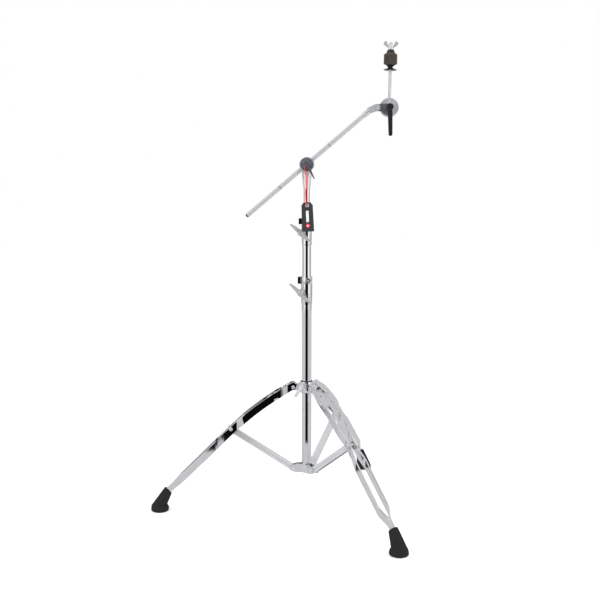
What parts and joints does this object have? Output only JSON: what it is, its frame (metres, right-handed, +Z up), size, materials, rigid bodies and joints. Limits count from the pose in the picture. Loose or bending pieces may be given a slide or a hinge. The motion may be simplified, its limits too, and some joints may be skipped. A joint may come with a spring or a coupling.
{
  "type": "cymbal_boom_stand",
  "caption": "A chrome cymbal boom stand with a double-braced folding tripod, telescoping column, tilting boom and a cymbal tilter with felts",
  "frame": {"origin": "the middle of the stand's footprint, on the floor", "axes": "+Z up, parallel to the column; the boom rises to +X; the boom passes the column on its -Y side, where the player's levers and wing bolts are"},
  "size_m": [0.6352, 0.701, 1.1823],
  "materials": {
    "chrome_tube": "bright chrome plate on drawn steel tube",
    "chrome_cast": "chrome plate on castings and hardware, a little softer",
    "chrome_leg": "chrome plate on flat steel bars and channels",
    "rubber_foot": "matte dark rubber",
    "black_plastic": "black moulded nylon, slightly glossy",
    "nylon_liner": "dark nylon bushings",
    "grey_cast": "dark grey coated casting",
    "felt": "thick dark wool felt",
    "tag_card": "charcoal printed card, semi-gloss",
    "red_cord": "red twisted string"
  },
  "bodies": {
    "base": {"base_tube": "chrome_tube", "tube_plug": "black_plastic", "hub_plates": "chrome_cast", "hub_rivets": "chrome_cast", "hub_pins": "chrome_cast", "lower_clamp": "chrome_cast", "lower_clamp_bushing": "nylon_liner", "lower_clamp_nut": "chrome_cast"},
    "left_brace": {"left_strut": "chrome_leg"},
    "front_brace": {"front_strut": "chrome_leg"},
    "rear_brace": {"rear_strut": "chrome_leg"},
    "left_leg": {"left_leg_bar_a": "chrome_leg", "left_leg_bar_b": "chrome_leg", "left_brace_pin": "chrome_cast", "left_foot": "rubber_foot"},
    "collar_group": {"collar": "chrome_cast", "collar_bushing": "nylon_liner", "collar_pins": "chrome_cast"},
    "front_leg": {"front_leg_bar_a": "chrome_leg", "front_leg_bar_b": "chrome_leg", "front_brace_pin": "chrome_cast", "front_foot": "rubber_foot"},
    "rear_leg": {"rear_leg_bar_a": "chrome_leg", "rear_leg_bar_b": "chrome_leg", "rear_brace_pin": "chrome_cast", "rear_foot": "rubber_foot"},
    "collar_lever": {"collar_lever_bolt": "chrome_cast"},
    "lower_bolt": {"lower_wing_bolt": "chrome_cast"},
    "lower_lock": {"lower_memory_lock": "chrome_cast", "lower_lock_screw": "chrome_cast"},
    "middle": {"middle_tube": "chrome_tube", "upper_clamp": "chrome_cast", "upper_clamp_bushing": "nylon_liner", "upper_clamp_nut": "chrome_cast"},
    "upper_bolt": {"upper_wing_bolt": "chrome_cast"},
    "upper_lock": {"upper_memory_lock": "chrome_cast", "upper_lock_screw": "chrome_cast"},
    "upper": {"upper_tube": "chrome_tube", "tilter_neck": "chrome_cast"},
    "tilter": {"boom_holder": "chrome_cast", "tilter_disc": "chrome_cast", "tilter_nut": "chrome_cast"},
    "tilter_handle": {"tilter_lever": "grey_cast"},
    "boom_grip": {"boom_liner": "nylon_liner"},
    "boom": {"boom_tube": "chrome_tube", "boom_tail_plug": "nylon_liner", "boom_head": "chrome_cast", "head_screw": "chrome_cast"},
    "arm": {"tilter_arm": "grey_cast", "head_stud": "chrome_cast"},
    "head_handle": {"head_lever": "black_plastic"},
    "rod": {"rod_disc": "chrome_cast", "cymbal_rod": "chrome_tube", "cymbal_seat": "black_plastic", "lower_felt": "felt", "upper_felt": "felt", "top_cap": "black_plastic"},
    "top_nut": {"wing_nut": "chrome_cast"},
    "tag": {"hang_tag": "tag_card", "tag_string": "red_cord"}
  },
  "joints": [
    {"name": "left_brace_fold", "type": "hinge", "parent": "base", "child": "left_brace", "pos_m": [0.04608, -0.01235, 0.108], "axis": [-0.0671, 0.9977, 0], "range_deg": [0, 46]},
    {"name": "front_brace_fold", "type": "hinge", "parent": "base", "child": "front_brace", "pos_m": [0.1005, -0.03907, 0.108], "axis": [-0.8305, -0.557, 0], "range_deg": [0, 46]},
    {"name": "rear_brace_fold", "type": "hinge", "parent": "base", "child": "rear_brace", "pos_m": [0.09642, 0.02142, 0.108], "axis": [0.8976, -0.4407, 0], "range_deg": [0, 46]},
    {"name": "left_leg_fold", "type": "hinge", "parent": "left_brace", "child": "left_leg", "pos_m": [-0.11356, -0.02309, 0.215], "axis": [-0.0671, 0.9977, 0], "range_deg": [-92, 0]},
    {"name": "collar_fold", "type": "hinge", "parent": "left_leg", "child": "collar_group", "pos_m": [0.04608, -0.01235, 0.322], "axis": [-0.0671, 0.9977, 0], "range_deg": [0, 46]},
    {"name": "front_leg_fold", "type": "hinge", "parent": "collar_group", "child": "front_leg", "pos_m": [0.1005, -0.03907, 0.322], "axis": [-0.8305, -0.557, 0], "range_deg": [-46, 0]},
    {"name": "rear_leg_fold", "type": "hinge", "parent": "collar_group", "child": "rear_leg", "pos_m": [0.09642, 0.02142, 0.322], "axis": [0.8976, -0.4407, 0], "range_deg": [-46, 0]},
    {"name": "collar_lever_turn", "type": "hinge", "parent": "collar_group", "child": "collar_lever", "pos_m": [0.06778, -0.03693, 0.326], "axis": [-0.4407, -0.8976, 0], "range_deg": [-10, 75]},
    {"name": "lower_bolt_turn", "type": "hinge", "parent": "base", "child": "lower_bolt", "pos_m": [0.0641, -0.01, 0.565], "axis": [0, -1, 0], "continuous": true},
    {"name": "lower_height", "type": "slide", "parent": "base", "child": "lower_lock", "axis": [0, 0, 1], "range_m": [0, 0.25]},
    {"name": "lower_swivel", "type": "hinge", "parent": "lower_lock", "child": "middle", "pos_m": [0.081, -0.01, 0.64], "axis": [0, 0, 1], "continuous": true},
    {"name": "upper_bolt_turn", "type": "hinge", "parent": "middle", "child": "upper_bolt", "pos_m": [0.0657, -0.01, 0.716], "axis": [0, -1, 0], "continuous": true},
    {"name": "upper_height", "type": "slide", "parent": "middle", "child": "upper_lock", "axis": [0, 0, 1], "range_m": [0, 0.25]},
    {"name": "upper_swivel", "type": "hinge", "parent": "upper_lock", "child": "upper", "pos_m": [0.081, -0.01, 0.78], "axis": [0, 0, 1], "range_deg": [-5, 150]},
    {"name": "boom_tilt", "type": "hinge", "parent": "upper", "child": "tilter", "pos_m": [0.081, -0.01, 0.885], "axis": [0, 1, 0], "range_deg": [-29, 71]},
    {"name": "tilter_lever_turn", "type": "hinge", "parent": "tilter", "child": "tilter_handle", "pos_m": [0.081, -0.052, 0.885], "axis": [0, -1, 0], "continuous": true},
    {"name": "boom_extend", "type": "slide", "parent": "boom_grip", "child": "boom", "axis": [0.7615, 0, 0.6481], "range_m": [-0.12, 0.14]},
    {"name": "boom_roll", "type": "hinge", "parent": "tilter", "child": "boom_grip", "pos_m": [0.081, -0.031, 0.885], "axis": [0.7615, 0, 0.6481], "range_deg": [-90, 90]},
    {"name": "arm_fold", "type": "hinge", "parent": "boom", "child": "arm", "pos_m": [0.2515, -0.031, 1.0225], "axis": [0, 1, 0], "range_deg": [-40, 40]},
    {"name": "head_lever_turn", "type": "hinge", "parent": "arm", "child": "head_handle", "pos_m": [0.283, -0.04, 1.0235], "axis": [0, -1, 0], "continuous": true},
    {"name": "cymbal_tilt", "type": "hinge", "parent": "arm", "child": "rod", "pos_m": [0.283, -0.0209, 1.0235], "axis": [0, 1, 0], "range_deg": [-60, 90]},
    {"name": "nut_turn", "type": "hinge", "parent": "rod", "child": "top_nut", "pos_m": [0.28544, -0.0209, 1.16348], "axis": [0.0175, 0, 0.9998], "continuous": true},
    {"name": "tag_swing", "type": "hinge", "parent": "upper", "child": "tag", "pos_m": [0.081, -0.0488, 0.885], "axis": [0, 1, 0], "range_deg": [-35, 35]}
  ],
  "couplings": [
    {"joint": "left_leg_fold", "follows": "left_brace_fold", "ratio": -2},
    {"joint": "collar_fold", "follows": "left_brace_fold", "ratio": 1},
    {"joint": "front_leg_fold", "follows": "left_brace_fold", "ratio": -1},
    {"joint": "rear_leg_fold", "follows": "left_brace_fold", "ratio": -1},
    {"joint": "front_brace_fold", "follows": "left_brace_fold", "ratio": 1},
    {"joint": "rear_brace_fold", "follows": "left_brace_fold", "ratio": 1}
  ]
}
